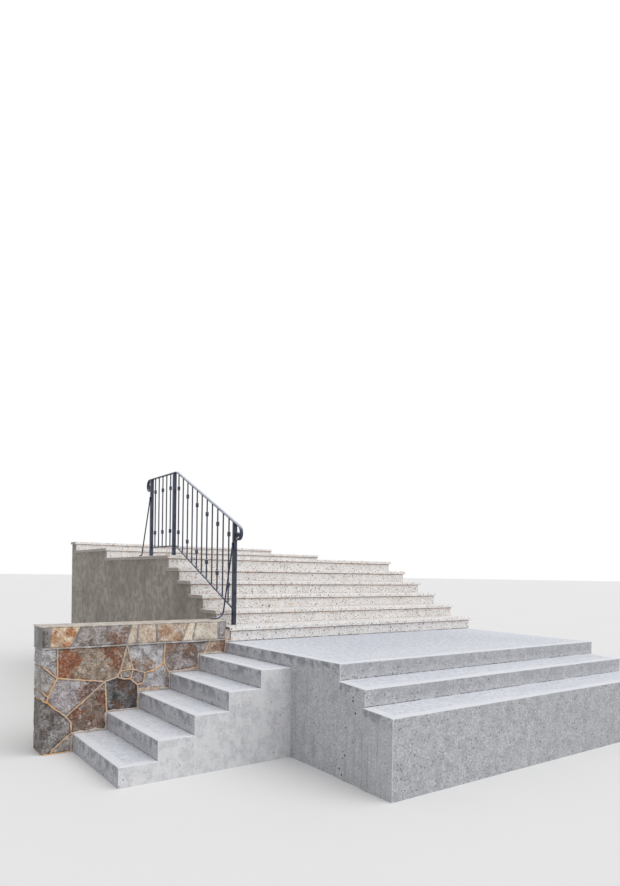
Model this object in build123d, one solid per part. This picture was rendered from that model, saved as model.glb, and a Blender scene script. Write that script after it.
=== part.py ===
from build123d import *
from math import atan2, cos, degrees, sin
import os

# Entry steps: a concrete landing, two concrete flights down from it, a terrazzo flight
# up to the porch, a stone wall beside the left flight and a wrought iron balustrade on
# the terrazzo flight.
# Millimetres, +Z up, +Y towards the door. The origin lies under the middle of the
# landing, on the lowest level that the masonry bears on.

# Landing. Its left edge laps past the terrazzo, and its right edge tapers in towards the front.
LANDING_DEPTH = 1830
LANDING_LAP = 45
LANDING_TAPER = 150
ARRIS = 7

# Left flight, down along -X
LEFT_FIRST_RISE = 110
LEFT_RISE = 153
LEFT_TREADS = 5
LEFT_GOING = 297
LEFT_WIDTH = 1160

# Front flight, down along -Y. Its treads fall forward, and each laps a little further to the left.
FRONT_RISER = 130
FRONT_FALL = 20
FRONT_GOING = 315
FRONT_TREADS = 2
FRONT_LAP = 16

# Terrazzo flight, up along +Y
FLIGHT_WIDTH = 3580
FLIGHT_RISE = 150
FLIGHT_GOING = 315
FLIGHT_RISERS = 6
NOSING = 24
SLAB_THICK = 40
NOSING_ROUND_TOP = 10
NOSING_ROUND_UNDER = 4
RISER_THICK = 25
CHEEK_THICK = 25

# Porch, recess floor and door sill
PORCH_DEPTH = 2330
RECESS_LAP = 350
RECESS_DEPTH = 1620
RECESS_RISE = 150
SILL_RISE = 150
SILL_DEPTH = 250

# Stone wall beside the left flight
WALL_LENGTH = 1800
WALL_THICK = 300
CAP_UNDER = 25
CAP_HEIGHT = 190
CAP_SHORT = 38
CAP_END_ROUND = 50
CAP_EDGE_ROUND = 12

# Balustrade
RAIL_INSET = 144
POST_SIZE = 38
POST_LOWER_SETBACK = 205
POST_UPPER_SETBACK = 190
POST_FAR_SPACING = 740
RAIL_WIDTH = 38
RAIL_THICK = 14
RAIL_CHAMFER = 4
RAIL_HEIGHT = 1039
BEND_SETBACK = 70
RAIL_BEND_RADIUS = 60
BOTTOM_BAR = 16
BOTTOM_BAR_HEIGHT = 121
BOTTOM_BEND_RADIUS = 40
BAR_SIZE = 12
FLIGHT_BARS = 11
LEVEL_BARS = 5
COLLAR_SIZE = 26
COLLAR_HEIGHT = 54
COLLAR_CHAMFER = 6
COLLAR_BELOW_RAIL = 186
COLLAR_ABOVE_BOTTOM = 194

# Scrolls at the rail's two ends
SCROLL_REACH = 120
SCROLL_DROP = 10
SCROLL_TURNS = ((60, 90), (47, 90), (27, 90), (18, 170))
SCROLL_FIRST_RADIUS = 80

# Stays that brace the lower and the far post
STAY_DIAMETER = 16
STAY_WELD = 40
STAY_BEND_RADIUS = 150
STAY_SPREAD = 104
STAY_RISE = 746
STAY_FOOT_LOWER = 135
STAY_FOOT_RADIUS_LOWER = 90
STAY_FOOT_FAR = 30
STAY_FOOT_RADIUS_FAR = 25

# Levels
LANDING_TOP = LEFT_FIRST_RISE + LEFT_TREADS * LEFT_RISE
PORCH_TOP = LANDING_TOP + FLIGHT_RISERS * FLIGHT_RISE
RECESS_TOP = PORCH_TOP + RECESS_RISE
SILL_TOP = RECESS_TOP + SILL_RISE

# Plan lines
LANDING_RIGHT = (FLIGHT_WIDTH + LANDING_LAP - LANDING_TAPER) / 2
LANDING_LEFT = -LANDING_RIGHT
LANDING_FRONT = -LANDING_DEPTH / 2
FLIGHT_FRONT = LANDING_DEPTH / 2
FLIGHT_LEFT = LANDING_LEFT + LANDING_LAP
FLIGHT_RIGHT = FLIGHT_LEFT + FLIGHT_WIDTH
PORCH_FRONT = FLIGHT_FRONT + (FLIGHT_RISERS - 1) * FLIGHT_GOING
RECESS_FRONT = PORCH_FRONT + PORCH_DEPTH
RECESS_RIGHT = FLIGHT_RIGHT + RECESS_LAP
SILL_FRONT = RECESS_FRONT + RECESS_DEPTH
SILL_BACK = SILL_FRONT + SILL_DEPTH

os.makedirs("parts", exist_ok=True)


def save(name, shape):
    export_step(shape, f"parts/{name}.step")


def block(left, right, front, back, bottom, top):
    """A rectangular block between six planes."""
    body = Box(right - left, back - front, top - bottom, align=(Align.MIN, Align.MIN, Align.MIN))
    return Pos(left, front, bottom) * body


def level(step):
    """Top of the terrazzo flight's step, where 0 is the landing."""
    return LANDING_TOP + step * FLIGHT_RISE


def riser_line(step):
    """Face of the riser that carries the step."""
    return FLIGHT_FRONT + (step - 1) * FLIGHT_GOING


# Concrete landing and its two flights down

def eased(body):
    """The body with its top face's front edge and left edge slightly rounded."""
    top_edges = body.faces().sort_by(Axis.Z)[-1].edges()
    return fillet([top_edges.sort_by(Axis.Y)[0], top_edges.sort_by(Axis.X)[0]], ARRIS)


def build_landing():
    plan = Polygon(
        (LANDING_LEFT, LANDING_FRONT), (LANDING_RIGHT, LANDING_FRONT),
        (FLIGHT_RIGHT, FLIGHT_FRONT), (LANDING_LEFT, FLIGHT_FRONT), align=None)
    body = extrude(plan, LANDING_TOP)
    top_edges = body.edges().group_by(Axis.Z)[-1].sort_by(Axis.Y)
    save("landing", fillet(top_edges[:-1], ARRIS))


def build_left_flight():
    for step in range(1, LEFT_TREADS + 1):
        right = LANDING_LEFT - (step - 1) * LEFT_GOING
        top = LANDING_TOP - LEFT_FIRST_RISE - (step - 1) * LEFT_RISE
        front = FLIGHT_FRONT - LEFT_WIDTH
        body = block(right - LEFT_GOING, right, front, FLIGHT_FRONT, 0, top)
        save(f"left_step_{step}", eased(body))


def build_front_flight():
    """The steps are drawn from the side, in Y and Z, because their treads fall forward."""
    tread_back = LANDING_TOP
    for step in range(1, FRONT_TREADS + 1):
        back = LANDING_FRONT - (step - 1) * FRONT_GOING
        front = back - FRONT_GOING
        tread_back -= FRONT_RISER
        tread_front = tread_back - FRONT_FALL
        left = LANDING_LEFT - step * FRONT_LAP
        side = Polygon((front, 0), (back, 0), (back, tread_back), (front, tread_front), align=None)
        body = extrude(Plane.YZ * side, LANDING_RIGHT - left, dir=(1, 0, 0))
        save(f"front_step_{step}", eased(Pos(left, 0, 0) * body))
        tread_back = tread_front


# Terrazzo flight, porch and sill

def terrazzo_slab(left, right, front, back, top, rounded_right=True):
    """A slab with a rounded nosing along its front and its free ends."""
    body = block(left, right, front, back, top - SLAB_THICK, top)
    for layer, radius in ((-1, NOSING_ROUND_TOP), (0, NOSING_ROUND_UNDER)):
        edges = body.edges().group_by(Axis.Z)[layer]
        chosen = [edges.filter_by(Axis.X).sort_by(Axis.Y)[0], edges.filter_by(Axis.Y).sort_by(Axis.X)[0]]
        if rounded_right:
            chosen.append(edges.filter_by(Axis.Y).sort_by(Axis.X)[-1])
        body = fillet(chosen, radius)
    return body


def stepped_face(back):
    """Side profile of the mass under the treads, drawn in Y and Z."""
    points = [(FLIGHT_FRONT, 0), (FLIGHT_FRONT, LANDING_TOP)]
    ledge = LANDING_TOP
    for step in range(1, FLIGHT_RISERS + 1):
        back_of_riser = riser_line(step) + RISER_THICK
        points.append((back_of_riser, ledge))
        ledge = level(step) - SLAB_THICK
        points.append((back_of_riser, ledge))
    points.append((back, ledge))
    points.append((back, 0))
    return make_face(Plane.YZ * Polyline(points, close=True))


def build_flight():
    core_back = riser_line(FLIGHT_RISERS + 1) + RISER_THICK
    core = extrude(stepped_face(core_back), FLIGHT_WIDTH - 2 * CHEEK_THICK, dir=(1, 0, 0))
    save("flight_core", Pos(FLIGHT_LEFT + CHEEK_THICK, 0, 0) * core)
    cheek = extrude(stepped_face(RECESS_FRONT + RISER_THICK), CHEEK_THICK, dir=(1, 0, 0))
    save("left_cheek", Pos(FLIGHT_LEFT, 0, 0) * cheek)
    save("right_cheek", Pos(FLIGHT_RIGHT - CHEEK_THICK, 0, 0) * cheek)
    for step in range(1, FLIGHT_RISERS + 1):
        front = riser_line(step)
        back = riser_line(step + 1) + RISER_THICK
        left = FLIGHT_LEFT - NOSING
        right = FLIGHT_RIGHT + NOSING
        save(f"tread_{step}", terrazzo_slab(left, right, front - NOSING, back, level(step)))
        under = level(step) - SLAB_THICK
        riser = block(FLIGHT_LEFT, FLIGHT_RIGHT, front, front + RISER_THICK, level(step - 1), under)
        save(f"riser_{step}", riser)


def build_porch():
    front = riser_line(FLIGHT_RISERS + 1) + RISER_THICK
    back = RECESS_FRONT + RISER_THICK
    under = PORCH_TOP - SLAB_THICK
    base = block(FLIGHT_LEFT + CHEEK_THICK, FLIGHT_RIGHT - CHEEK_THICK, front, back, 0, under)
    save("porch_base", base)
    paving = block(FLIGHT_LEFT - NOSING, FLIGHT_RIGHT + NOSING, front, back, under, PORCH_TOP)
    for layer, radius in ((-1, NOSING_ROUND_TOP), (0, NOSING_ROUND_UNDER)):
        ends = paving.edges().group_by(Axis.Z)[layer].filter_by(Axis.Y)
        paving = fillet(ends, radius)
    save("porch_paving", paving)


def build_recess():
    """The floor in front of the door, one rise above the porch, and the door sill."""
    base_front = RECESS_FRONT + RISER_THICK
    recess_under = RECESS_TOP - SLAB_THICK
    base = block(FLIGHT_LEFT, RECESS_RIGHT, base_front, SILL_BACK, 0, recess_under)
    toe = block(FLIGHT_RIGHT, RECESS_RIGHT, RECESS_FRONT, base_front, 0, PORCH_TOP)
    porch_under = PORCH_TOP - SLAB_THICK
    toe -= block(FLIGHT_RIGHT, FLIGHT_RIGHT + NOSING, RECESS_FRONT, base_front, porch_under, PORCH_TOP)
    save("recess_base", base + toe)
    riser = block(FLIGHT_LEFT, RECESS_RIGHT, RECESS_FRONT, base_front, PORCH_TOP, recess_under)
    save("riser_7", riser)
    sill_base_front = SILL_FRONT + RISER_THICK
    left = FLIGHT_LEFT - NOSING
    floor = terrazzo_slab(left, RECESS_RIGHT, RECESS_FRONT - NOSING, sill_base_front, RECESS_TOP, False)
    save("recess_floor", floor)
    sill_under = SILL_TOP - SLAB_THICK
    save("sill_base", block(FLIGHT_LEFT, RECESS_RIGHT, sill_base_front, SILL_BACK, recess_under, sill_under))
    save("riser_8", block(FLIGHT_LEFT, RECESS_RIGHT, SILL_FRONT, sill_base_front, RECESS_TOP, sill_under))
    save("door_sill", terrazzo_slab(left, RECESS_RIGHT, SILL_FRONT - NOSING, SILL_BACK, SILL_TOP, False))


# Stone wall

def build_wall():
    left = FLIGHT_LEFT - WALL_LENGTH
    back = FLIGHT_FRONT + WALL_THICK
    cap_bottom = LANDING_TOP + CAP_UNDER
    save("stone_wall", block(left, FLIGHT_LEFT, FLIGHT_FRONT, back, 0, cap_bottom))
    cap = block(left, FLIGHT_LEFT - CAP_SHORT, FLIGHT_FRONT, back, cap_bottom, cap_bottom + CAP_HEIGHT)
    cap = fillet(cap.edges().filter_by(Axis.Z).group_by(Axis.X)[-1], CAP_END_ROUND)
    top_edges = cap.edges().group_by(Axis.Z)[-1]
    save("wall_capping", fillet(top_edges.sort_by(Axis.X)[1:], CAP_EDGE_ROUND))


# Balustrade. Its lines are drawn in the plane of the railing, as (Y, Z) pairs.

PITCH = atan2(FLIGHT_RISE, FLIGHT_GOING)
SLOPE = FLIGHT_RISE / FLIGHT_GOING
RAIL_X = FLIGHT_LEFT + RAIL_INSET
POST_LOWER_Y = FLIGHT_FRONT + POST_LOWER_SETBACK
POST_UPPER_Y = PORCH_FRONT + POST_UPPER_SETBACK
POST_FAR_Y = POST_UPPER_Y + POST_FAR_SPACING
RAIL_TOP = PORCH_TOP + RAIL_HEIGHT
RAIL_MID = RAIL_TOP - RAIL_THICK / 2
BOTTOM_MID = PORCH_TOP + BOTTOM_BAR_HEIGHT
BEND_Y = POST_UPPER_Y - BEND_SETBACK


def on_line(level_z, y):
    """Height of a line that slopes with the flight up to the bend and is level beyond it."""
    return level_z - max(0, BEND_Y - y) * SLOPE


def in_rail_plane(shape):
    return Pos(RAIL_X, 0, 0) * (Plane.YZ * shape)


def scroll(start, heading, side):
    """A scroll that curls down from the start, as arcs whose radii shrink. Side is 1 or -1."""
    first_turn = 90 - degrees(atan2(-heading[1], abs(heading[0])))
    pieces = [JernArc(start, heading, SCROLL_FIRST_RADIUS, side * first_turn)]
    drop_top = pieces[-1] @ 1
    pieces.append(Line(drop_top, drop_top - Vector(0, SCROLL_DROP)))
    for radius, turn in SCROLL_TURNS:
        pieces.append(JernArc(pieces[-1] @ 1, pieces[-1] % 1, radius, side * turn))
    return pieces


def rail_run():
    """The handrail's middle line: the slope, the bend and the level stretch."""
    lower_y = POST_LOWER_Y - POST_SIZE / 2 - SCROLL_REACH + SCROLL_FIRST_RADIUS * (1 - sin(PITCH))
    lower = Vector(lower_y, on_line(RAIL_MID, lower_y))
    far = Vector(POST_FAR_Y + POST_SIZE / 2 + SCROLL_REACH - SCROLL_FIRST_RADIUS, RAIL_MID)
    return lower, far, FilletPolyline(lower, (BEND_Y, RAIL_MID), far, radius=RAIL_BEND_RADIUS)


def build_handrail():
    lower, far, run = rail_run()
    pieces = scroll(lower, (-cos(PITCH), -sin(PITCH)), 1) + [run] + scroll(far, (1, 0), -1)
    path = Wire([edge for piece in pieces for edge in piece.edges()])
    start = Plane(path @ 0, x_dir=(0, 0, 1), z_dir=path % 0)
    section = start * chamfer(Rectangle(RAIL_WIDTH, RAIL_THICK).vertices(), RAIL_CHAMFER)
    save("handrail", in_rail_plane(sweep(section, path)))


def below_line(level_z, offset):
    """The space under a line that runs parallel to a bent bar, offset square to it, as a face."""
    low_y = POST_LOWER_Y - POST_SIZE
    far_y = POST_FAR_Y + POST_SIZE
    low_z = on_line(level_z, low_y) + offset / cos(PITCH)
    turn_y = BEND_Y + (offset - offset / cos(PITCH)) / SLOPE
    level_z += offset
    return Polygon((low_y, 0), (far_y, 0), (far_y, level_z), (turn_y, level_z), (low_y, low_z), align=None)


def rail_prism(face):
    """The face thickened to a slab wider than any bar, centred on the railing's plane."""
    return in_rail_plane(extrude(face, POST_SIZE, both=True))


def upright(y, size, bottom):
    """A square bar from the bottom level up to the handrail's highest level."""
    bar = Box(size, size, RAIL_TOP - bottom, align=(Align.CENTER, Align.CENTER, Align.MIN))
    return Pos(RAIL_X, y, bottom) * bar


def build_posts():
    under_rail = rail_prism(below_line(RAIL_MID, -RAIL_THICK / 2))
    feet = (("post_lower", POST_LOWER_Y, level(1)), ("post_upper", POST_UPPER_Y, PORCH_TOP))
    for name, y, foot in feet + (("post_far", POST_FAR_Y, PORCH_TOP),):
        save(name, upright(y, POST_SIZE, foot) & under_rail)


def bottom_bar_path():
    start = (POST_LOWER_Y, on_line(BOTTOM_MID, POST_LOWER_Y))
    return FilletPolyline(start, (BEND_Y, BOTTOM_MID), (POST_FAR_Y, BOTTOM_MID), radius=BOTTOM_BEND_RADIUS)


def build_bottom_rails():
    path = bottom_bar_path()
    start = Plane(path @ 0, x_dir=(0, 0, 1), z_dir=path % 0)
    bar = in_rail_plane(sweep(start * Rectangle(BOTTOM_BAR, BOTTOM_BAR), path))
    half = POST_SIZE / 2
    spans = (
        ("bottom_rail_flight", POST_LOWER_Y + half, POST_UPPER_Y - half),
        ("bottom_rail_level", POST_UPPER_Y + half, POST_FAR_Y - half))
    for name, front, back in spans:
        window = block(RAIL_X - half, RAIL_X + half, front, back, LANDING_TOP, RAIL_TOP)
        save(name, bar & window)


def collar(y, z):
    """A forged collar on a baluster, a square block with its corners cut."""
    body = Pos(RAIL_X, y, z) * Box(COLLAR_SIZE, COLLAR_SIZE, COLLAR_HEIGHT)
    return chamfer(body.edges().group_by(Axis.Z)[0] + body.edges().group_by(Axis.Z)[-1], COLLAR_CHAMFER)


def balusters(front, back, count):
    """Bars between two posts, cut to the two rails, with collars on every second one."""
    under_rail = rail_prism(below_line(RAIL_MID, -RAIL_THICK / 2))
    window = under_rail - rail_prism(below_line(BOTTOM_MID, BOTTOM_BAR / 2))
    spacing = (back - front) / (count + 1)
    bars = []
    for place in range(1, count + 1):
        y = back - place * spacing
        bar = upright(y, BAR_SIZE, LANDING_TOP) & window
        if place % 2 == 1:
            upper = on_line(RAIL_TOP, y) - COLLAR_BELOW_RAIL
            lower = on_line(BOTTOM_MID, y) + COLLAR_ABOVE_BOTTOM
            bar = bar + collar(y, upper) + collar(y, lower)
        bars.append(bar.solid())
    return Compound(children=bars)


def build_balusters():
    save("balusters_flight", balusters(POST_LOWER_Y, POST_UPPER_Y, FLIGHT_BARS))
    save("balusters_level", balusters(POST_UPPER_Y, POST_FAR_Y, LEVEL_BARS))


def stay(post_y, foot_z, foot_length, foot_radius):
    """A round bar that leaves the post's face, leans out and turns flat at its foot."""
    radius = STAY_DIAMETER / 2
    face_x = RAIL_X - POST_SIZE / 2 - radius
    floor_z = foot_z + radius
    foot_x = face_x - STAY_SPREAD
    corners = (
        (face_x, floor_z + STAY_RISE + STAY_WELD), (face_x, floor_z + STAY_RISE),
        (foot_x, floor_z), (foot_x - foot_length, floor_z))
    path = FilletPolyline(*corners, radius=[STAY_BEND_RADIUS, foot_radius])
    start = Plane(path @ 0, z_dir=path % 0)
    bar = sweep(start * Circle(radius), path)
    return Pos(0, post_y, 0) * (Plane.XZ * bar)


def build_stays():
    cap_top = LANDING_TOP + CAP_UNDER + CAP_HEIGHT
    save("stay_lower", stay(POST_LOWER_Y, cap_top, STAY_FOOT_LOWER, STAY_FOOT_RADIUS_LOWER))
    save("stay_far", stay(POST_FAR_Y, PORCH_TOP, STAY_FOOT_FAR, STAY_FOOT_RADIUS_FAR))


build_landing()
build_left_flight()
build_front_flight()
build_flight()
build_porch()
build_recess()
build_wall()
build_handrail()
build_posts()
build_bottom_rails()
build_balusters()
build_stays()
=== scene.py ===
"""Dresses the entry steps: cast concrete, terrazzo, a random stone wall and a painted balustrade."""

import math

import bmesh
import bpy
from mathutils import Euler, Matrix, Vector, noise


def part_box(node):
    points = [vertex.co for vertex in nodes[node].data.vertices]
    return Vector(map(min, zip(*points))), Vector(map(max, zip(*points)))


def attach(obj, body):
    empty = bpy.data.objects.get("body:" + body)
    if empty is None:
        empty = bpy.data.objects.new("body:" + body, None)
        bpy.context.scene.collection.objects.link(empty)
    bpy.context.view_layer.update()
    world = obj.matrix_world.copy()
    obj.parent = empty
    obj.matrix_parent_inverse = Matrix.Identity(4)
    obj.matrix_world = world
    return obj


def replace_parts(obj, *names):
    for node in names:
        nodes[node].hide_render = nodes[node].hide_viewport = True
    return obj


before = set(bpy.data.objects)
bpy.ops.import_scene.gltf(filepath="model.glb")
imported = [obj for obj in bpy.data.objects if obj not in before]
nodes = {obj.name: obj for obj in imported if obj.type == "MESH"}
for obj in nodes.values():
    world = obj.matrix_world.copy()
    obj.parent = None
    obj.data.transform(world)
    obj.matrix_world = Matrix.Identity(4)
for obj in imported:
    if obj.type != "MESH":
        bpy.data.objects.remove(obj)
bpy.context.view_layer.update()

# Without a seed, noise_vector takes one from the clock, and no two runs give the same stones
noise.seed_set(1)

# Photograph, in pixels, and the camera that it was taken with
PHOTO_HEIGHT = 886
SENSOR = 36.0
FOCAL_PIXELS = 636.59
HORIZON_PIXEL = 575.12
CAMERA_PLACE = (-4.7776, -4.7513, 1.5547)
CAMERA_TURN = -35.5906
CAMERA_ROLL = 0.7338


def srgb(red, green, blue):
    """A colour as it looks on a screen, 0 to 255, turned into the shader's linear values."""
    linear = [((value / 255 + 0.055) / 1.055) ** 2.4 for value in (red, green, blue)]
    return (*linear, 1.0)


# Shader building


class Recipe:
    """Adds nodes to one material or one shader group, and wires each as it is added."""

    def __init__(self, tree):
        self.tree = tree

    def feed(self, socket, value):
        if isinstance(value, bpy.types.NodeSocket):
            self.tree.links.new(value, socket)
        else:
            socket.default_value = value

    def add(self, kind, inputs, **settings):
        made = self.tree.nodes.new(kind)
        for name, value in settings.items():
            setattr(made, name, value)
        for name, value in inputs.items():
            self.feed(made.inputs[name], value)
        return made

    def calculate(self, operation, first, second=0.0, clamp=False):
        inputs = {0: first, 1: second}
        return self.add("ShaderNodeMath", inputs, operation=operation, use_clamp=clamp).outputs[0]

    def times(self, first, *others):
        for other in others:
            first = self.calculate("MULTIPLY", first, other)
        return first

    def plus(self, first, second):
        return self.calculate("ADD", first, second)

    def minus(self, first, second):
        return self.calculate("SUBTRACT", first, second)

    def least(self, first, *others):
        for other in others:
            first = self.calculate("MINIMUM", first, other)
        return first

    def most(self, first, *others):
        for other in others:
            first = self.calculate("MAXIMUM", first, other)
        return first

    def fade(self, value, start, end, low=0.0, high=1.0):
        """A smooth step from low to high as the value goes from start to end."""
        inputs = {"Value": value, "From Min": start, "From Max": end, "To Min": low, "To Max": high}
        return self.add("ShaderNodeMapRange", inputs, interpolation_type="SMOOTHSTEP").outputs[0]

    def blend(self, share, first, second, how="MIX"):
        inputs = {0: share, 6: first, 7: second}
        return self.add("ShaderNodeMix", inputs, data_type="RGBA", blend_type=how).outputs[2]

    def vector(self, operation, place, value):
        return self.add("ShaderNodeVectorMath", {0: place, 1: value}, operation=operation).outputs[0]

    def clouds(self, place, scale, detail=3.0, roughness=0.55, warp=0.0):
        inputs = {
            "Vector": place, "Scale": scale, "Detail": detail, "Roughness": roughness, "Distortion": warp}
        return self.add("ShaderNodeTexNoise", inputs).outputs[0]

    def cells(self, place, scale):
        return self.add("ShaderNodeTexVoronoi", {"Vector": place, "Scale": scale}).outputs

    def near(self, place, centre, reach, ragged):
        """A soft, ragged patch round a point."""
        inputs = {0: place, 1: centre}
        apart = self.add("ShaderNodeVectorMath", inputs, operation="DISTANCE").outputs["Value"]
        return self.fade(self.plus(apart, ragged), reach * 1.05, reach * 0.6)

    def split(self, vector):
        return self.add("ShaderNodeSeparateXYZ", {0: vector}).outputs

    def use(self, group, **inputs):
        made = self.tree.nodes.new("ShaderNodeGroup")
        made.node_tree = group
        for name, value in inputs.items():
            self.feed(made.inputs[name.replace("_", " ")], value)
        return made.outputs


def shader_group(name, inputs, outputs):
    """An empty shader group with its sockets, as a recipe, what comes in and what goes out."""
    tree = bpy.data.node_groups.new(name, "ShaderNodeTree")
    kinds = {Vector: "NodeSocketVector", float: "NodeSocketFloat", tuple: "NodeSocketColor"}
    for socket, value in inputs.items():
        made = tree.interface.new_socket(name=socket, in_out="INPUT", socket_type=kinds[type(value)])
        made.default_value = value
    for socket in outputs:
        kind = kinds[tuple if socket == "Colour" else float]
        tree.interface.new_socket(name=socket, in_out="OUTPUT", socket_type=kind)
    entry = tree.nodes.new("NodeGroupInput")
    leave = tree.nodes.new("NodeGroupOutput")
    return Recipe(tree), entry.outputs, leave.inputs


def build_weathering():
    """Cloudy variation at four sizes, and streaks that run down."""
    outputs = ("Broad", "Patch", "Mottle", "Grain", "Streak")
    recipe, came, goes = shader_group("weathering", {"Place": Vector()}, outputs)
    place = came["Place"]
    recipe.feed(goes["Broad"], recipe.clouds(place, 1.6, 3.0))
    recipe.feed(goes["Patch"], recipe.clouds(place, 11.0, 6.0, 0.62, 0.3))
    recipe.feed(goes["Mottle"], recipe.clouds(place, 44.0, 5.0, 0.74))
    recipe.feed(goes["Grain"], recipe.clouds(place, 330.0, 3.0, 0.7))
    drawn_out = recipe.vector("MULTIPLY", place, (34.0, 34.0, 2.2))
    recipe.feed(goes["Streak"], recipe.clouds(drawn_out, 1.0, 4.0, 0.6))
    return recipe.tree


def build_pitting():
    """Small round holes, one in some of the cells of a random lattice."""
    inputs = {"Place": Vector(), "Per Metre": 60.0, "Share": 0.2}
    recipe, came, goes = shader_group("pitting", inputs, ("Hole",))
    cells = recipe.cells(came["Place"], came["Per Metre"])
    pick = recipe.split(cells["Color"])
    chosen = recipe.calculate("LESS_THAN", pick[0], came["Share"])
    size = recipe.fade(pick[1], 0.0, 1.0, 0.12, 0.38)
    outwards = recipe.calculate("DIVIDE", cells["Distance"], size)
    hole = recipe.calculate("SUBTRACT", 1.0, outwards, clamp=True)
    recipe.feed(goes["Hole"], recipe.times(chosen, recipe.fade(hole, 0.0, 0.4)))
    return recipe.tree


# A place past any edge of the steps, for an edge that a step doesn't show
FAR = 9.0


def build_open_edges():
    """The distance in from a step's edges, and masks of its trowelled margin and of its arris, for a painted
    highlight.
    """
    inputs = {"Place": Vector(), "Left": -FAR, "Right": FAR, "Front": -FAR, "Top": FAR}
    recipe, came, goes = shader_group("open_edges", inputs, ("Margin", "Arris", "Inward"))
    place = came["Place"]
    x, y, z = recipe.split(place)
    inward = recipe.least(
        recipe.minus(x, came["Left"]), recipe.minus(came["Right"], x), recipe.minus(y, came["Front"]))
    width = recipe.fade(recipe.clouds(place, 5.0), 0.3, 0.7, 0.055, 0.08)
    recipe.feed(goes["Margin"], recipe.fade(recipe.minus(inward, width), 0.012, -0.004))
    ragged = recipe.times(recipe.clouds(place, 55.0, 4.0, 0.7), 0.01)
    from_arris = recipe.most(recipe.minus(came["Top"], z), recipe.minus(inward, 0.003))
    from_corner = recipe.most(recipe.minus(x, came["Left"]), recipe.minus(y, came["Front"]))
    from_arris = recipe.least(from_arris, from_corner)
    recipe.feed(goes["Arris"], recipe.fade(recipe.plus(from_arris, ragged), 0.018, 0.006))
    recipe.feed(goes["Inward"], inward)
    return recipe.tree


def build_level_lines():
    """Masks of a ragged line and a soft band that stand on a level, and of a fine line at it."""
    inputs = {"Place": Vector(), "Level": 0.0}
    recipe, came, goes = shader_group("level_lines", inputs, ("Line", "Band", "Seam"))
    place = came["Place"]
    above = recipe.minus(recipe.split(place)[2], came["Level"])
    ragged = recipe.clouds(place, 38.0, 5.0, 0.7)
    beyond = recipe.calculate("GREATER_THAN", above, -0.003)
    line = recipe.fade(recipe.plus(above, recipe.times(ragged, 0.03)), 0.022, 0.014)
    recipe.feed(goes["Line"], recipe.times(beyond, line))
    soft = recipe.times(recipe.clouds(place, 9.0, 4.0), 0.08)
    recipe.feed(goes["Band"], recipe.times(beyond, recipe.fade(recipe.plus(above, soft), 0.105, 0.06)))
    apart = recipe.plus(recipe.calculate("ABSOLUTE", above), recipe.times(ragged, 0.012))
    recipe.feed(goes["Seam"], recipe.fade(apart, 0.016, 0.012))
    return recipe.tree


# Each size of chip: how many cells to a metre, and the share of them that hold a chip
CHIP_SIZES = ((170.0, 0.25), (100.0, 0.28), (62.0, 0.28), (46.0, 0.14))
CHIP_TONES = (
    srgb(88, 76, 69), srgb(180, 142, 104), srgb(136, 134, 137), srgb(206, 178, 142), srgb(110, 102, 98))


def build_chips():
    """Stone chips of one size, cut flat in a matrix, each of one tone."""
    inputs = {"Place": Vector(), "Per Metre": 60.0, "Share": 0.2, "Matrix": srgb(220, 216, 210)}
    recipe, came, goes = shader_group("chips", inputs, ("Colour", "Chip"))
    moved = recipe.vector("ADD", came["Place"], (3.7, 1.3, 2.1))
    cells = recipe.cells(moved, came["Per Metre"])
    pick = recipe.split(cells["Color"])
    chosen = recipe.calculate("LESS_THAN", pick[0], came["Share"])
    reach = recipe.fade(pick[2], 0.0, 1.0, 0.2, 0.5)
    chip = recipe.times(chosen, recipe.fade(recipe.minus(reach, cells["Distance"]), 0.0, 0.08))
    ramp = recipe.add("ShaderNodeValToRGB", {"Fac": pick[1]})
    stops = ramp.color_ramp.elements
    ramp.color_ramp.interpolation = "CONSTANT"
    stops[0].color = CHIP_TONES[0]
    stops[1].position = 1 / len(CHIP_TONES)
    stops[1].color = CHIP_TONES[1]
    for number, tone in enumerate(CHIP_TONES[2:], start=2):
        stops.new(number / len(CHIP_TONES)).color = tone
    recipe.feed(goes["Colour"], recipe.blend(recipe.times(chip, 0.95), came["Matrix"], ramp.outputs[0]))
    recipe.feed(goes["Chip"], chip)
    return recipe.tree


WEATHERING = build_weathering()
PITTING = build_pitting()
OPEN_EDGES = build_open_edges()
LEVEL_LINES = build_level_lines()
CHIPS = build_chips()


def material(name):
    """A new material, as a recipe, with its Principled shader's inputs and the object's coordinates."""
    made = bpy.data.materials.new(name)
    made.use_nodes = True
    recipe = Recipe(made.node_tree)
    shader = made.node_tree.nodes["Principled BSDF"].inputs
    place = recipe.add("ShaderNodeTexCoord", {}).outputs["Object"]
    return made, recipe, shader, place


def facing(recipe):
    """The masks of faces that look up, left and forward."""
    x, y, z = recipe.split(recipe.add("ShaderNodeNewGeometry", {}).outputs["Normal"])
    return recipe.fade(z, 0.35, 0.85), recipe.fade(x, -0.5, -0.9), recipe.fade(y, -0.5, -0.9)


def emboss(recipe, shader, height, depth):
    bump = recipe.add("ShaderNodeBump", {"Height": height, "Distance": depth, "Strength": 1.0})
    recipe.feed(shader["Normal"], bump.outputs[0])


# Concrete

LEFT_STEPS = 5
FIRST_FRONT_RISE = 0.130


def tapered_edge(recipe, place):
    """Where the landing's right edge is, as it runs from the terrazzo's end in towards the front."""
    low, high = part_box("landing")
    front_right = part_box("front_step_1")[1].x
    run = (high.x - front_right) / (high.y - low.y)
    back = recipe.minus(recipe.split(place)[1], low.y)
    return recipe.plus(recipe.times(back, run), front_right)


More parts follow.
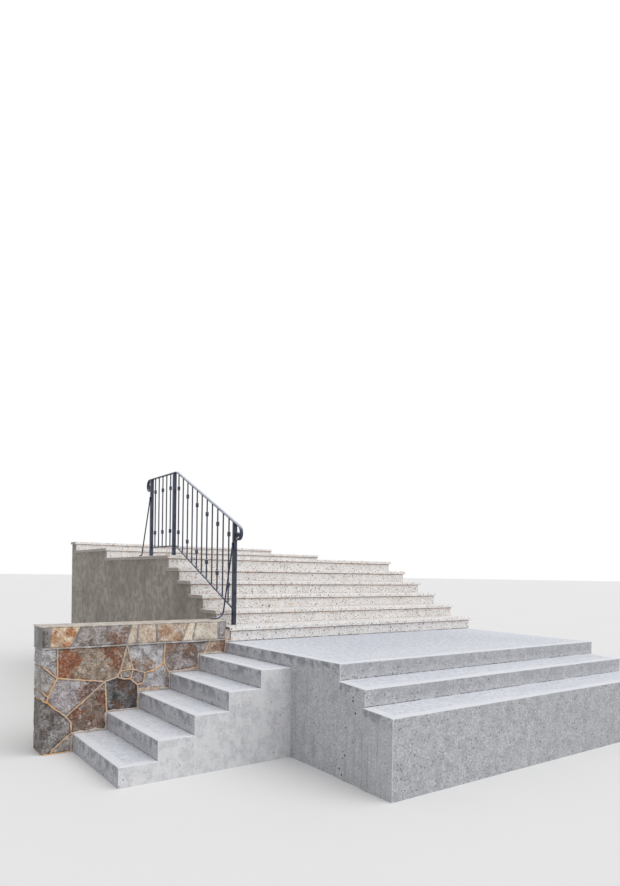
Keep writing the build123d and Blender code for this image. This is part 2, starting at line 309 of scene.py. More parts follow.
def foot_marks(recipe, place, left, front, foot_front, foot_left, left_from):
    """The masks of the dark line and the pale band at the foot of a front and of a left face."""
    line, band = 0.0, 0.0
    if foot_front is not None:
        lines = recipe.use(LEVEL_LINES, Place=place, Level=foot_front)
        line = recipe.times(lines["Line"], front)
        band = recipe.times(lines["Band"], front)
    if foot_left is not None:
        lines = recipe.use(LEVEL_LINES, Place=place, Level=foot_left)
        reach = recipe.times(left, recipe.calculate("GREATER_THAN", recipe.split(place)[1], left_from))
        line = recipe.most(line, recipe.times(lines["Line"], reach))
        band = recipe.most(band, recipe.times(lines["Band"], reach))
    return recipe.times(line, recipe.fade(recipe.clouds(place, 7.0, 3.0), 0.37, 0.52)), band


def washed_top(recipe, place, weather, edges):
    """The colour of a step's top: washed and flecked where it is trodden, and smooth at its margins."""
    trodden = recipe.fade(edges["Inward"], 0.06, 0.75, 0.5, 1.0)
    mottled = recipe.fade(weather["Mottle"], 0.38, 0.62)
    top = recipe.blend(mottled, srgb(206, 209, 216), srgb(223, 225, 231))
    top = recipe.blend(recipe.fade(weather["Broad"], 0.4, 0.62, 0.0, 0.4), top, srgb(208, 211, 219))
    drawn = recipe.vector("MULTIPLY", place, (2.4, 17.0, 1.0))
    trowelled = recipe.fade(recipe.clouds(drawn, 1.0, 4.0), 0.45, 0.65)
    top = recipe.blend(recipe.times(trowelled, 0.35), top, srgb(228, 230, 235))
    fleck = recipe.fade(recipe.clouds(place, 74.0, 3.0, 0.72), 0.52, 0.66)
    worn = recipe.fade(recipe.clouds(place, 24.0, 5.0, 0.78), 0.47, 0.6)
    fleck = recipe.times(recipe.most(recipe.times(worn, 0.85), fleck), trodden)
    fleck = recipe.times(fleck, recipe.minus(1.0, edges["Margin"]))
    top = recipe.blend(recipe.fade(edges["Inward"], 0.4, 1.3, 0.0, 0.45), top, srgb(198, 201, 208))
    top = recipe.blend(recipe.times(fleck, 0.85), top, srgb(160, 165, 179))
    top = recipe.blend(recipe.times(edges["Margin"], 0.5), top, srgb(222, 224, 229))
    # Painted highlight: the arris of the top is paled
    return recipe.blend(recipe.times(edges["Arris"], 0.2), top, srgb(226, 227, 230))


def concrete(node, foot_front=None, foot_left=None, left_from=-FAR, open_right=True, pale_front=0.0):
    """Cast concrete for one step: a washed top with trowelled margins, and stained, pitted faces.

    The feet are the levels of the joints below its front and its left face, left_from is where
    the left one starts, and pale_front is how much painted light pales its front, in patches."""
    low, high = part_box(node)
    made, recipe, shader, place = material(f"concrete_{node}")
    weather = recipe.use(WEATHERING, Place=place)
    right = high.x if open_right else FAR
    if node == "landing":
        right = tapered_edge(recipe, place)
    edges = recipe.use(OPEN_EDGES, Place=place, Left=low.x, Right=right, Front=low.y, Top=high.z)
    up, left, front = facing(recipe)
    line, band = foot_marks(recipe, place, left, front, foot_front, foot_left, left_from)
    small_holes = recipe.use(PITTING, Place=place, Per_Metre=72.0, Share=0.2)["Hole"]
    large_holes = recipe.use(PITTING, Place=place, Per_Metre=32.0, Share=0.09)["Hole"]
    crumbs = recipe.times(recipe.use(PITTING, Place=place, Per_Metre=58.0, Share=0.55)["Hole"], band)
    holes = recipe.most(small_holes, recipe.times(large_holes, recipe.fade(front, 0.0, 1.0, 1.0, 0.6)))
    below_top = recipe.minus(high.z, recipe.split(place)[2])

    mottled = recipe.fade(weather["Mottle"], 0.36, 0.64)
    side = recipe.blend(mottled, srgb(163, 164, 169), srgb(192, 193, 196))
    side = recipe.blend(recipe.fade(weather["Patch"], 0.44, 0.6, 0.0, 0.55), side, srgb(152, 153, 158))
    side = recipe.blend(recipe.fade(weather["Broad"], 0.35, 0.65, 0.0, 0.25), side, srgb(156, 157, 162))
    speckle = recipe.fade(recipe.clouds(place, 82.0, 3.0, 0.8), 0.38, 0.62, 0.1, 0.9)
    side = recipe.blend(recipe.fade(front, 0.0, 1.0, 0.75, 0.35), side, speckle, "SOFT_LIGHT")
    # Painted light: faces that look left are paled, as if more light reached them
    side = recipe.blend(recipe.times(left, 0.38), side, srgb(200, 201, 206))
    if pale_front:
        # Painted light: front faces are paled in patches toward near white, lifting the shade beside them
        painted_front_light = recipe.fade(weather["Patch"], 0.4, 0.6, 0.7 * pale_front, 1.4 * pale_front)
        side = recipe.blend(recipe.times(front, painted_front_light), side, srgb(230, 230, 232))
    streak = recipe.fade(weather["Streak"], 0.52, 0.7)
    streak = recipe.times(streak, recipe.fade(left, 0.0, 1.0, 0.1, 0.45))
    side = recipe.blend(recipe.times(streak, 0.7), side, srgb(118, 119, 128))
    # Painted shade: a blue-grey band, in patches, just under the top of faces that look left
    painted_shade = recipe.times(left, recipe.fade(below_top, 0.12, 0.03))
    painted_shade = recipe.times(painted_shade, recipe.fade(weather["Patch"], 0.46, 0.56))
    side = recipe.blend(recipe.times(painted_shade, 0.6), side, srgb(116, 119, 131))
    side = recipe.blend(recipe.times(band, 0.34), side, srgb(210, 210, 212))
    # Dirt and painted shade: the pits are darkened
    side = recipe.blend(recipe.times(holes, 0.95), side, srgb(70, 71, 80))
    side = recipe.blend(recipe.times(crumbs, 0.75), side, srgb(120, 112, 104))
    # Painted highlight: the arris of each face is paled
    side = recipe.blend(recipe.times(edges["Arris"], 0.45), side, srgb(216, 218, 222))
    side = recipe.blend(recipe.times(line, 0.85), side, srgb(74, 70, 68))

    top = washed_top(recipe, place, weather, edges)
    recipe.feed(shader["Base Color"], recipe.blend(up, side, top))
    rough = recipe.fade(weather["Patch"], 0.3, 0.7, 0.78, 0.93)
    smooth = recipe.times(edges["Margin"], up)
    recipe.feed(shader["Roughness"], recipe.minus(rough, recipe.times(smooth, 0.12)))
    relief = recipe.plus(recipe.times(weather["Mottle"], 0.3), recipe.times(weather["Grain"], 0.14))
    sunk = recipe.times(recipe.minus(1.0, up), recipe.plus(recipe.plus(holes, crumbs), line))
    emboss(recipe, shader, recipe.minus(relief, recipe.times(sunk, 0.9)), 0.004)
    return made


def dress_concrete():
    front_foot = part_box("landing")[1].z - FIRST_FRONT_RISE
    low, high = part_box("left_step_1")
    dress("landing", concrete("landing", front_foot, high.z, left_from=low.y))
    dress("front_step_1", concrete("front_step_1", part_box("front_step_2")[1].z))
    dress("front_step_2", concrete("front_step_2"))
    for number in range(1, LEFT_STEPS + 1):
        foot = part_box(f"left_step_{number + 1}")[1].z if number < LEFT_STEPS else None
        node = f"left_step_{number}"
        dress(node, concrete(node, foot_left=foot, open_right=False, pale_front=0.5))


# Terrazzo

TREADS = 6
RISERS = 8

# The tones of the thin line at a riser's foot, and of the heavier seam at the landing
FOOT_TONES = {"Line": srgb(150, 140, 132), "Seam": srgb(58, 53, 52)}


def terrazzo(name, top=None, foot=None, foot_line="Line"):
    """Cream terrazzo with small chips, with a line of stain and painted shade below the nosing, and stained
    along the foot of a riser.
    """
    made, recipe, shader, place = material(name)
    weather = recipe.use(WEATHERING, Place=place)
    cloudy = recipe.fade(weather["Patch"], 0.35, 0.65)
    colour = recipe.blend(cloudy, srgb(223, 221, 220), srgb(236, 234, 233))
    broad = recipe.fade(weather["Broad"], 0.42, 0.66, 0.0, 0.2)
    colour = recipe.blend(broad, colour, srgb(221, 216, 211))
    chips = 0.0
    for per_metre, share in CHIP_SIZES:
        layer = recipe.use(CHIPS, Place=place, Per_Metre=per_metre, Share=share, Matrix=colour)
        colour = layer["Colour"]
        chips = recipe.most(layer["Chip"], chips)
    _, left, _ = facing(recipe)
    # Painted shade: faces that look left, the ends of the steps, are darkened in patches
    painted_left_shade = recipe.times(left, recipe.fade(weather["Mottle"], 0.3, 0.6, 0.55, 0.9))
    colour = recipe.blend(painted_left_shade, colour, srgb(128, 118, 108))
    if top is not None:
        below = recipe.use(LEVEL_LINES, Place=place, Level=top)
        above = recipe.use(LEVEL_LINES, Place=place, Level=foot)
        # Stain and painted shade: a brown line at the top of the riser, under the nosing
        rusty = recipe.fade(recipe.clouds(place, 5.0, 5.0, 0.7), 0.42, 0.58)
        seam_stain_and_shade = recipe.blend(rusty, srgb(84, 62, 50), srgb(170, 112, 64))
        colour = recipe.blend(recipe.times(below["Seam"], 0.9), colour, seam_stain_and_shade)
        foot_share = recipe.fade(recipe.clouds(place, 6.0, 5.0, 0.7), 0.36, 0.54, 0.3, 0.9)
        colour = recipe.blend(recipe.times(above[foot_line], foot_share), colour, FOOT_TONES[foot_line])
    recipe.feed(shader["Base Color"], colour)
    recipe.feed(shader["Roughness"], recipe.fade(chips, 0.0, 1.0, 0.62, 0.4))
    relief = recipe.plus(recipe.times(weather["Grain"], 0.3), recipe.times(chips, 0.25))
    emboss(recipe, shader, relief, 0.0012)
    return made


def cheek_render():
    """The flight's rough rendered sides, streaked with stains, and darkened in broad patches with painted
    shade where planting shades them.
    """
    made, recipe, shader, place = material("cheek_render")
    weather = recipe.use(WEATHERING, Place=place)
    cloudy = recipe.fade(weather["Patch"], 0.36, 0.64)
    # Partly painted shade: the ground tones are kept darker than the terrazzo, for the shade of planting
    colour = recipe.blend(cloudy, srgb(140, 133, 126), srgb(172, 166, 158))
    # Painted shade: broad darker patches
    painted_shade = recipe.fade(weather["Broad"], 0.4, 0.62, 0.1, 0.55)
    colour = recipe.blend(painted_shade, colour, srgb(120, 112, 104))
    streak = recipe.fade(weather["Streak"], 0.52, 0.72, 0.0, 0.22)
    colour = recipe.blend(streak, colour, srgb(100, 93, 88))
    scoured = recipe.fade(weather["Mottle"], 0.56, 0.7, 0.0, 0.5)
    colour = recipe.blend(scoured, colour, srgb(182, 176, 168))
    recipe.feed(shader["Base Color"], colour)
    shader["Roughness"].default_value = 0.92
    emboss(recipe, shader, recipe.plus(weather["Mottle"], recipe.times(weather["Grain"], 0.3)), 0.003)
    return made


def dress_terrazzo():
    slab = terrazzo("terrazzo_slab")
    slabs = [f"tread_{number}" for number in range(1, TREADS + 1)]
    for node in slabs + ["porch_paving", "recess_floor", "door_sill"]:
        dress(node, slab)
    cheeks = cheek_render()
    for node in ("left_cheek", "right_cheek", "flight_core", "porch_base", "recess_base", "sill_base"):
        dress(node, cheeks)
    for number in range(1, RISERS + 1):
        low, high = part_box(f"riser_{number}")
        foot_line = "Seam" if number == 1 else "Line"
        dress(f"riser_{number}", terrazzo(f"terrazzo_riser_{number}", high.z, low.z, foot_line))


# Ironwork


def ironwork():
    """Satin blue-charcoal paint, dusty and painted with a pale sky reflection on upper faces, painted with
    shade on left ones, and a little chipped.
    """
    made, recipe, shader, place = material("satin_iron_paint")
    weather = recipe.use(WEATHERING, Place=place)
    up, left, _ = facing(recipe)
    colour = recipe.blend(recipe.fade(weather["Patch"], 0.35, 0.65), srgb(44, 49, 66), srgb(64, 71, 94))
    # Painted shade: faces that look left are darkened toward black
    colour = recipe.blend(recipe.times(left, 0.85), colour, srgb(11, 12, 15))
    # Dust and a painted reflection: upper faces are paled to a bluish white, for the sky seen in the rail's
    # top
    dust_and_sheen = recipe.times(up, recipe.fade(weather["Patch"], 0.4, 0.7, 0.65, 0.9))
    colour = recipe.blend(dust_and_sheen, colour, srgb(182, 189, 206))
    worn = recipe.fade(recipe.clouds(place, 60.0, 5.0, 0.7), 0.66, 0.72)
    colour = recipe.blend(recipe.times(worn, 0.6), colour, srgb(96, 70, 56))
    recipe.feed(shader["Base Color"], colour)
    rough = recipe.fade(weather["Patch"], 0.3, 0.7, 0.24, 0.34)
    recipe.feed(shader["Roughness"], recipe.plus(rough, recipe.times(worn, 0.3)))
    shader["Specular IOR Level"].default_value = 0.25
    shader["Coat Weight"].default_value = 0.1
    shader["Coat Roughness"].default_value = 0.18
    brushed = recipe.times(recipe.clouds(place, 240.0), 0.5)
    emboss(recipe, shader, recipe.plus(brushed, recipe.times(weather["Patch"], 0.4)), 0.0008)
    return made


IRON_NODES = (
    "post_lower", "post_upper", "post_far", "handrail", "bottom_rail_flight", "bottom_rail_level",
    "balusters_flight", "balusters_level", "stay_lower", "stay_far")


# Stone wall. Its face is drawn in millimetres: across from the terrazzo's left end, up from the ground.

WALL_LOW, WALL_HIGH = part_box("stone_wall")
CAP_LOW, CAP_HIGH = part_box("wall_capping")
WALL_DEPTH = WALL_HIGH.y - WALL_LOW.y

# In metres: the gap between two stones, their depth, how far they sit back from the face and how
# much that changes from one to the next, how far the mortar keeps in from the wall's left end, the
# size of the squares that faces are cut into, and a small clearance
STONE_GAP = 0.005
STONE_DEPTH = 0.07
SETBACK = 0.005
SETBACK_STEP = 0.0025
END_RAKE = 0.012
GRID = 0.02
CLEAR = 0.002

# A ribbon of mortar: half its flat top, one flank and its height, and then the bed behind the stones
RIBBON_TOP = 0.003
RIBBON_FLANK = 0.0036
RIBBON_HEIGHT = 0.005
BED_LIP = 0.001
BED_DEPTH = 0.03

# The capping: the gap between its stones, how far they stay from its foot and from its top, the
# least depth of mortar over them, the whole depth of that mortar, and the radius of its right end
CAP_GAP = 0.01
CAP_FOOT = 0.002
CAP_COVER = 0.002
CAP_SKIN = 0.003
SCREED_DEPTH = 0.011
CAP_END_RADIUS = 0.04

CORNERS = {
    "tl": (-1800, 900), "t1": (-1666, 900), "t2": (-1058, 900), "t3": (-696, 900), "t4": (-223, 900),
    "tr": (0, 900), "l1": (-1800, 765), "l2": (-1800, 550), "l3": (-1800, 470), "bl": (-1800, 0),
    "b1": (-1720, 0), "b2": (-1450, 0), "b3": (-1238, 0), "b4": (-900, 0), "b5": (-420, 0),
    "br": (0, 0), "r1": (0, 640), "r2": (0, 280), "a": (-1666, 644), "b": (-1257, 581),
    "c": (-1149, 614), "d": (-1118, 666), "e": (-998, 673), "e1": (-1036, 790), "f": (-891, 632),
    "f1": (-790, 650), "g": (-704, 714), "h": (-649, 609), "i": (-369, 643), "j": (-285, 773),
    "k": (-1105, 594), "l": (-1029, 587), "m": (-958, 530), "m1": (-900, 545), "n": (-954, 489),
    "n0": (-954, 300), "o": (-640, 470), "p": (-1238, 300), "q": (-1739, 492), "r": (-1750, 443),
    "s": (-1591, 308), "u": (-1550, 249), "v": (-1545, 160), "w": (-1695, 42), "x": (-1238, 150),
    "z1": (-600, 230), "z2": (-320, 300)}

FACE_STONES = (
    ("pale", "tl t1 a l1"), ("grey", "l1 a q l2"), ("pale", "l2 q r l3"), ("dark", "l3 r s u v w b1 bl"),
    ("grey", "v b2 b1 w"), ("rust", "t1 t2 d c b a"), ("tan", "t2 e1 e d"), ("pale", "t2 t3 g f1 f e e1"),
    ("slate", "t3 t4 j i h g"), ("brown", "t4 tr r1 i j"), ("pale", "f f1 g h o n m m1"), ("dark", "d k c"),
    ("grey", "d e l k"), ("slate", "e f m1 m l"), ("black", "b c k l m n n0 p"), ("mauve", "a b s r q"),
    ("russet", "b p x v u s"), ("grey", "v x b3 b2"), ("slate", "p n0 b4 b3 x"), ("tan", "n0 n o z1 b4"),
    ("mauve", "o h i z2 z1"), ("rust", "i r1 r2 z2"), ("slate", "z1 z2 b5 b4"), ("grey", "z2 r2 br b5"))

# The capping course: where each joint meets the top edge and the bottom edge, and the stones between
CAP_JOINTS = (
    (-1800, -1800), (-1732, -1737), (-1460, -1554), (-1022, -1073), (-957, -968), (-788, -772),
    (-454, -528), (-379, -418), (-143, -132), (-38, -38))
CAP_STONES = ("dark", "amber", "umber", "buff", "buff", "fawn", "straw", "cream", "mauve")

# Each finish: its two ground tones, its stain, and how much of it is stained
STONE_TONES = {
    "grey": ((180, 176, 175), (136, 130, 126), (152, 122, 98), 0.2),
    "pale": ((190, 188, 191), (142, 137, 136), (142, 114, 94), 0.15),
    "dark": ((142, 138, 137), (92, 85, 80), (112, 88, 70), 0.25),
    "rust": ((166, 152, 136), (130, 112, 96), (144, 86, 56), 0.2),
    "russet": ((152, 138, 128), (106, 90, 80), (130, 84, 60), 0.3),
    "tan": ((186, 168, 150), (152, 134, 118), (174, 128, 92), 0.3),
    "slate": ((164, 156, 155), (114, 102, 96), (136, 106, 86), 0.3),
    "brown": ((178, 156, 138), (132, 110, 94), (146, 104, 80), 0.35),
    "black": ((116, 113, 114), (62, 59, 59), (112, 80, 64), 0.2),
    "mauve": ((172, 165, 166), (146, 138, 139), (126, 88, 70), 0.05),
    "amber": ((214, 194, 170), (184, 156, 126), (182, 122, 78), 0.25),
    "umber": ((170, 164, 163), (118, 104, 96), (130, 96, 76), 0.25),
    "fawn": ((202, 182, 160), (164, 144, 124), (156, 116, 86), 0.3),
    "buff": ((212, 200, 184), (186, 166, 146), (176, 128, 92), 0.25),
    "straw": ((238, 226, 204), (220, 205, 182), (192, 158, 122), 0.15),
    "cream": ((212, 202, 188), (192, 178, 162), (178, 148, 118), 0.2)}

# Where iron has stained a stone through: across, up and reach, in the drawing's millimetres
STAINS = {
    "rust": ((-1560, 790, 120), (-1200, 860, 110), (-1150, 755, 80), (-1600, 690, 70)),
    "russet": ((-1275, 430, 70), (-1495, 336, 80), (-1348, 266, 60)),
    "mauve": ((-1430, 500, 90), (-1360, 565, 70), (-50, 955, 45)),
    "black": ((-1108, 545, 75), (-1133, 365, 55), (-1009, 473, 45)),
    "brown": ((-60, 850, 70),),
    "slate": ((-640, 860, 80), (-437, 810, 90)),
    "pale": ((-993, 727, 65), (-850, 700, 70)),
    "amber": ((-1697, 1010, 60), (-1560, 1035, 55), (-1583, 925, 45)),
    "umber": ((-1147, 965, 95), (-1040, 1020, 55)),
    "fawn": ((-560, 940, 70), (-700, 1000, 60))}


def on_face(across, up):
    """A point of the wall's front face from the drawing's millimetres."""
    return Vector((WALL_HIGH.x + across / 1000, WALL_LOW.y, up / 1000))


def field_stone(name):
    """Split stone: mottled ground tones, iron stain, pale bloom, and a dark crust in the hollows."""
    light, dark, stain, share = STONE_TONES[name]
    made, recipe, shader, place = material(f"stone_{name}")
    weather = recipe.use(WEATHERING, Place=place)
    ground = recipe.blend(recipe.fade(weather["Patch"], 0.38, 0.62), srgb(*dark), srgb(*light))
    blotch = recipe.clouds(recipe.vector("ADD", place, (1.7, 0.0, 4.1)), 7.0, 7.0, 0.7, 0.5)
    stained = recipe.fade(blotch, 0.64 - 0.3 * share, 0.8 - 0.3 * share)
    ragged = recipe.times(recipe.minus(recipe.clouds(place, 24.0, 6.0, 0.74), 0.5), 0.3)
    for across, up, reach in STAINS.get(name, ()):
        stained = recipe.most(stained, recipe.near(place, on_face(across, up), reach / 1000, ragged))
    patchy = recipe.fade(weather["Mottle"], 0.36, 0.56, 0.4, 1.0)
    stain_tone = recipe.blend(
        recipe.fade(weather["Broad"], 0.42, 0.58), srgb(*stain), srgb(*(0.78 * value for value in stain)))
    colour = recipe.blend(recipe.times(stained, patchy), ground, stain_tone)
    bloom = recipe.fade(recipe.clouds(place, 15.0, 6.0, 0.74, 0.3), 0.54, 0.7)
    colour = recipe.blend(recipe.times(bloom, 0.55), colour, srgb(206, 207, 213))
    crust = recipe.fade(recipe.clouds(place, 36.0, 6.0, 0.76, 0.4), 0.56, 0.68)
    colour = recipe.blend(recipe.times(crust, 0.5), colour, srgb(76, 69, 64))
    veined = recipe.fade(recipe.clouds(place, 21.0, 7.0, 0.7, 1.1), 0.4, 0.6, 0.1, 0.9)
    colour = recipe.blend(0.35, colour, veined, "SOFT_LIGHT")
    shade = recipe.fade(recipe.clouds(place, 66.0, 5.0, 0.76), 0.36, 0.64, 0.1, 0.9)
    colour = recipe.blend(0.5, colour, shade, "SOFT_LIGHT")
    fine = recipe.fade(recipe.clouds(place, 110.0, 3.0, 0.7), 0.38, 0.62, 0.1, 0.9)
    recipe.feed(shader["Base Color"], recipe.blend(0.6, colour, fine, "SOFT_LIGHT"))
    recipe.feed(shader["Roughness"], recipe.fade(weather["Patch"], 0.3, 0.7, 0.72, 0.92))
    relief = recipe.plus(recipe.times(weather["Patch"], 0.7), recipe.times(weather["Mottle"], 0.3))
    relief = recipe.plus(relief, recipe.times(weather["Grain"], 0.12))
    emboss(recipe, shader, recipe.minus(relief, recipe.times(crust, 0.3)), 0.006)
    return made


def mortar(name, light, dark, faded=None):
    """Mortar with dirt in its hollows, and faded to another tone here and there if one is given."""
    made, recipe, shader, place = material(name)
    weather = recipe.use(WEATHERING, Place=place)
    colour = recipe.blend(recipe.fade(weather["Patch"], 0.38, 0.62), srgb(*dark), srgb(*light))
    if faded:
        washed = recipe.fade(recipe.clouds(place, 3.4, 4.0, 0.6), 0.42, 0.58, 0.0, 0.8)
        colour = recipe.blend(washed, colour, srgb(*faded))
    dirty = recipe.fade(weather["Mottle"], 0.5, 0.66, 0.0, 0.55)
    colour = recipe.blend(dirty, colour, srgb(134, 120, 108))
    sand = recipe.fade(recipe.clouds(place, 210.0, 3.0, 0.7), 0.5, 0.68)
    colour = recipe.blend(recipe.times(sand, 0.35), colour, srgb(120, 106, 94))
    recipe.feed(shader["Base Color"], colour)
    shader["Roughness"].default_value = 0.9
    emboss(recipe, shader, recipe.plus(weather["Grain"], weather["Patch"]), 0.002)
    return made


STONE_NAMES = tuple(STONE_TONES)
STONE_FINISHES = [field_stone(name) for name in STONE_NAMES]
SANDY = mortar("sandy_mortar", (234, 196, 154), (206, 158, 112), (198, 188, 180))
GREY = mortar("grey_mortar", (178, 178, 181), (138, 137, 140), (118, 115, 114))
POINTED = mortar("pointed_mortar", (212, 211, 212), (152, 147, 144), (166, 158, 152))
PALE = mortar("pale_mortar", (212, 205, 195), (182, 173, 163))
SMEARED = mortar("smeared_mortar", (208, 197, 188), (178, 164, 154))


def cut_grid(shape, cell):
    """Cuts all the faces along a square grid, so that wear can bend them."""
    low = Vector(min(v.co[axis] for v in shape.verts) for axis in range(3))
    high = Vector(max(v.co[axis] for v in shape.verts) for axis in range(3))
    for axis in range(3):
        across = Vector((0.0, 0.0, 0.0))
        across[axis] = 1.0
        count = int((high[axis] - low[axis]) / cell)
        for number in range(1, count + 1):
            everything = shape.verts[:] + shape.edges[:] + shape.faces[:]
            place = across * (low[axis] + number * (high[axis] - low[axis]) / (count + 1))
            bmesh.ops.bisect_plane(shape, geom=everything, dist=0.0005, plane_co=place, plane_no=across)


def smooth(shape):
    """Shades all the faces smooth."""
    for face in shape.faces:
        face.smooth = True


def move_made(shape, made, way):
    """Moves the vertices among what an operator has made."""
    moved = [item for item in made if isinstance(item, bmesh.types.BMVert)]
    bmesh.ops.translate(shape, verts=moved, vec=way)


def wear(shape, rounds, relief, seed):
    """Rounds a stone's corners and breaks its faces with shallow relief, always inwards."""
    for _ in range(rounds):
        bmesh.ops.smooth_vert(
            shape, verts=shape.verts[:], factor=0.5, use_axis_x=True, use_axis_y=True, use_axis_z=True)
    shape.normal_update()
    moves = []
    for vert in shape.verts:
        lumps = noise.fractal(vert.co * 9.0 + seed, 1.0, 2.0, 3) * 0.5 + 0.5
        grit = noise.noise(vert.co * 60.0 + seed) * 0.5 + 0.5
        moves.append(vert.normal * -relief * (0.7 * lumps + 0.3 * grit))
    for vert, move in zip(shape.verts, moves):
        vert.co += move


def prism(outline, depth, gap):
    """A solid from an outline on the wall's face, drawn in by half a gap and taken back by a depth."""
    shape = bmesh.new()
    face = shape.faces.new([shape.verts.new(point) for point in outline])
    face.normal_update()
    inset = bmesh.ops.inset_individual(shape, faces=[face], thickness=gap / 2, use_even_offset=True)
    bmesh.ops.delete(shape, geom=inset["faces"], context="FACES")
    back = bmesh.ops.extrude_face_region(shape, geom=shape.faces[:])["geom"]
    move_made(shape, back, (0.0, depth, 0.0))
    bmesh.ops.recalc_face_normals(shape, faces=shape.faces[:])
    return shape


def gather(shape, part, number=None):
    """Adds a finished bmesh to another, with one of its materials if a number is given."""
    smooth(part)
    if number is not None:
        for face in part.faces:
            face.material_index = number
    mesh = bpy.data.meshes.new("part")
    part.to_mesh(mesh)
    part.free()
    shape.from_mesh(mesh)
    bpy.data.meshes.remove(mesh)


def mirror_to_back(shape):
    """Repeats the front half of the wall behind its middle, and closes the two together."""
    middle = (WALL_LOW.y + WALL_HIGH.y) / 2
    everything = shape.verts[:] + shape.edges[:] + shape.faces[:]
    to_middle = Matrix.Translation((0.0, -middle, 0.0))
    bmesh.ops.mirror(shape, geom=everything, matrix=to_middle, merge_dist=0.0002, axis="Y")
    bmesh.ops.recalc_face_normals(shape, faces=shape.faces[:])


def shift(shape, reach, per_metre, seed=0.0, keep_depth=False):
    """Drifts every vertex a little, as hand work does."""
    for vert in shape.verts:
        drift = noise.noise_vector(vert.co * per_metre + Vector((seed, seed, seed))) * reach
        if keep_depth:
            drift.y = 0.0
        vert.co += drift


def keep_within(shape, low, high):
    """Holds every vertex between two corners."""
    for vert in shape.verts:
        for axis in range(3):
            vert.co[axis] = min(max(vert.co[axis], low[axis]), high[axis])


def block(low, high, cell):
    """A block between two corners, cut along a grid."""
    shape = bmesh.new()
    bmesh.ops.create_cube(shape, size=1.0)
    bmesh.ops.scale(shape, verts=shape.verts[:], vec=high - low)
    bmesh.ops.translate(shape, verts=shape.verts[:], vec=(low + high) / 2)
    cut_grid(shape, cell)
    return shape


def round_end(shape, offset):
    """Rounds the upright arrises at the right end of a course."""
    end = max(vert.co.x for vert in shape.verts)
    uprights = [e for e in shape.edges if all(v.co.x > end - 0.001 for v in e.verts)]
    uprights = [e for e in uprights if abs(e.verts[0].co.z - e.verts[1].co.z) > 0.05]
    bmesh.ops.bevel(
        shape, geom=uprights, offset=offset, offset_type="OFFSET", segments=5, profile=0.5,
        affect="EDGES", material=-1)


def build_wall_stones():
    """The stones of the wall's face, and again on its back. Those at its end go right through."""
    shape, halves = bmesh.new(), bmesh.new()
    wall_end = CORNERS["bl"][0]
    for number, (name, corners) in enumerate(FACE_STONES):
        keys = corners.split()
        through = any(CORNERS[key][0] == wall_end for key in keys)
        setback = SETBACK + SETBACK_STEP * (number % 3)
        depth = WALL_DEPTH - 2 * setback if through else STONE_DEPTH
        stone = prism([on_face(*CORNERS[key]) for key in keys], depth, STONE_GAP)
        bmesh.ops.translate(stone, verts=stone.verts[:], vec=(0.0, setback, 0.0))
        cut_grid(stone, GRID)
        shift(stone, 0.005, 13.0, number, keep_depth=True)
        wear(stone, 2, 0.007, Vector((number * 3.1, 0.0, 0.0)))
        gather(shape if through else halves, stone, STONE_NAMES.index(name))
    mirror_to_back(halves)
    gather(shape, halves)
    keep_within(shape, WALL_LOW, WALL_HIGH)
    return finish_piece("wall_stones", shape, STONE_FINISHES, "field_stone")


def build_wall_mortar():
    """The wall's mortar: a block whose joints stand out as rounded ribbons between the stones."""
    shape = bmesh.new()
    corners = {key: shape.verts.new(on_face(*place)) for key, place in CORNERS.items()}
    beds = [shape.faces.new([corners[key] for key in outline.split()]) for _, outline in FACE_STONES]
    for bed in beds:
        bed.normal_update()
        if bed.normal.y > 0:
            bed.normal_flip()
    rim = [edge for edge in shape.edges if edge.is_boundary]
    swept = bmesh.ops.extrude_edge_only(shape, edges=rim)["geom"]
    move_made(shape, swept, (0.0, WALL_DEPTH / 2, 0.0))
    for width, depth in ((RIBBON_TOP, 0.0), (RIBBON_FLANK, RIBBON_HEIGHT), (BED_LIP, BED_DEPTH)):
        bmesh.ops.inset_individual(shape, faces=beds, thickness=width, depth=-depth, use_even_offset=True)
    cut_grid(shape, GRID)
    middle = (WALL_LOW.y + WALL_HIGH.y) / 2
    for vert in shape.verts:
        if vert.co.y < middle - CLEAR / 2:
            drift = noise.noise_vector(vert.co * 16.0) * 0.003 + noise.noise_vector(vert.co * 47.0) * 0.006
            raked = BED_DEPTH if vert.co.x < WALL_LOW.x + END_RAKE else 0.0
            vert.co += Vector((drift.x, abs(drift.y) * 0.6 + raked, drift.z))
            vert.co.y = min(vert.co.y, middle - CLEAR)
    keep_within(shape, WALL_LOW + Vector((END_RAKE, 0.0, 0.0)), WALL_HIGH)
    mirror_to_back(shape)
    made = finish_piece("wall_mortar", shape, [SANDY], "field_stone")
    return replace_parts(made, "stone_wall")


